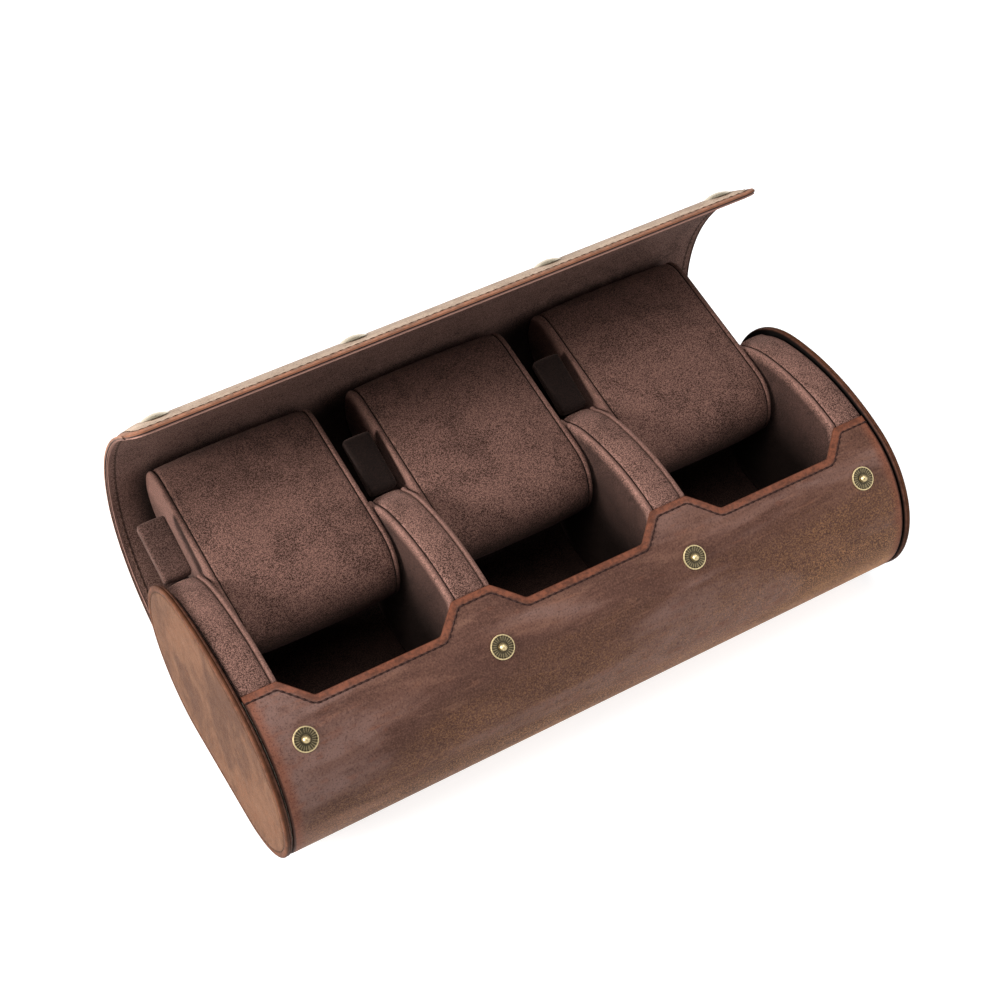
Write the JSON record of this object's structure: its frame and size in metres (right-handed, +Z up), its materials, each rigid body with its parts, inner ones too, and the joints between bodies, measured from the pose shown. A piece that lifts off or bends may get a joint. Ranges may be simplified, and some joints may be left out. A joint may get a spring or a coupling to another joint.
{
  "type": "watch travel case",
  "caption": "Leather watch roll with oval end caps, a wrap-over snap lid, padded suede dividers and raised watch pillows in open wells.",
  "frame": {"origin": "centre of the flat base, on the surface the case stands on", "axes": "+X along the case, +Y to the back where the lid turns, +Z up"},
  "size_m": [0.29, 0.1655, 0.14],
  "materials": {
    "case_leather": "satin",
    "cap_leather": "satin",
    "cap_rim": "satin",
    "board": "matte",
    "lining_suede": "matte",
    "pillow_suede": "matte",
    "antique_brass": "satin"
  },
  "bodies": {
    "case": {"body_leather": "case_leather", "body_board": "board", "body_lining": "lining_suede", "left_cap_leather": "cap_leather", "left_cap_board": "cap_rim", "right_cap_leather": "cap_leather", "right_cap_board": "cap_rim", "left_end_divider": "lining_suede", "left_mid_divider": "lining_suede", "right_mid_divider": "lining_suede", "right_end_divider": "lining_suede", "left_end_side": "lining_suede", "left_mid_sides": "lining_suede", "right_mid_sides": "lining_suede", "right_end_side": "lining_suede", "right_end_tongue": "lining_suede", "snap_studs": "antique_brass", "stud_backs": "antique_brass"},
    "left_end_tongue": {"left_end_tongue": "lining_suede"},
    "left_mid_tongue": {"left_mid_tongue": "lining_suede"},
    "right_mid_tongue": {"right_mid_tongue": "lining_suede"},
    "left_pillow": {"left_pillow": "pillow_suede", "left_pillow_cheeks": "pillow_suede"},
    "mid_pillow": {"mid_pillow": "pillow_suede", "mid_pillow_cheeks": "pillow_suede"},
    "right_pillow": {"right_pillow": "pillow_suede", "right_pillow_cheeks": "pillow_suede"},
    "lid_root": {"lid_root_leather": "case_leather", "lid_root_lining": "lining_suede"},
    "lid_back": {"lid_back_leather": "case_leather", "lid_back_lining": "lining_suede"},
    "lid_crown": {"lid_crown_leather": "case_leather", "lid_crown_lining": "lining_suede"},
    "lid_flap": {"lid_flap_leather": "case_leather", "lid_flap_lining": "lining_suede", "snap_caps": "antique_brass", "snap_sockets": "antique_brass"}
  },
  "joints": [
    {"name": "lid_hinge", "type": "hinge", "parent": "case", "child": "lid_root", "pos_m": [0, 0.0384, 0.0076], "axis": [1, 0, 0], "range_deg": [0, 31.4]},
    {"name": "lid_back_bend", "type": "hinge", "parent": "lid_root", "child": "lid_back", "pos_m": [0, 0.0609, 0.01116], "axis": [1, 0, 0], "range_deg": [0, 29.81]},
    {"name": "lid_crown_bend", "type": "hinge", "parent": "lid_back", "child": "lid_crown", "pos_m": [0, 0.09866, 0.04611], "axis": [1, 0, 0], "range_deg": [0, 8.31]},
    {"name": "lid_flap_bend", "type": "hinge", "parent": "lid_crown", "child": "lid_flap", "pos_m": [0, 0.08116, 0.11712], "axis": [1, 0, 0], "range_deg": [0, 6.6]},
    {"name": "left_end_tongue_fold", "type": "hinge", "parent": "case", "child": "left_end_tongue", "pos_m": [0, 0.0427, 0.0685], "axis": [1, 0, 0], "range_deg": [-88.71, 0]},
    {"name": "left_mid_tongue_fold", "type": "hinge", "parent": "case", "child": "left_mid_tongue", "pos_m": [0, 0.0427, 0.0685], "axis": [1, 0, 0], "range_deg": [-88.71, 0]},
    {"name": "right_mid_tongue_fold", "type": "hinge", "parent": "case", "child": "right_mid_tongue", "pos_m": [0, 0.0427, 0.0685], "axis": [1, 0, 0], "range_deg": [-88.71, 0]},
    {"name": "left_pillow_slide", "type": "slide", "parent": "case", "child": "left_pillow", "axis": [0, -0.9174, -0.398], "range_m": [0, 0.05855]},
    {"name": "mid_pillow_slide", "type": "slide", "parent": "case", "child": "mid_pillow", "axis": [0, -0.9174, -0.398], "range_m": [0, 0.05855]},
    {"name": "right_pillow_slide", "type": "slide", "parent": "case", "child": "right_pillow", "axis": [0, -0.9174, -0.398], "range_m": [0, 0.05855]}
  ],
  "couplings": [
    {"joint": "lid_back_bend", "follows": "lid_hinge", "ratio": 0.94904},
    {"joint": "lid_crown_bend", "follows": "lid_hinge", "ratio": 0.26433},
    {"joint": "left_end_tongue_fold", "follows": "lid_hinge", "ratio": -2.8248},
    {"joint": "left_mid_tongue_fold", "follows": "lid_hinge", "ratio": -2.8248},
    {"joint": "right_mid_tongue_fold", "follows": "lid_hinge", "ratio": -2.8248},
    {"joint": "left_pillow_slide", "follows": "lid_hinge", "m_per_rad": 0.10681},
    {"joint": "mid_pillow_slide", "follows": "lid_hinge", "m_per_rad": 0.10681},
    {"joint": "right_pillow_slide", "follows": "lid_hinge", "m_per_rad": 0.10681}
  ]
}
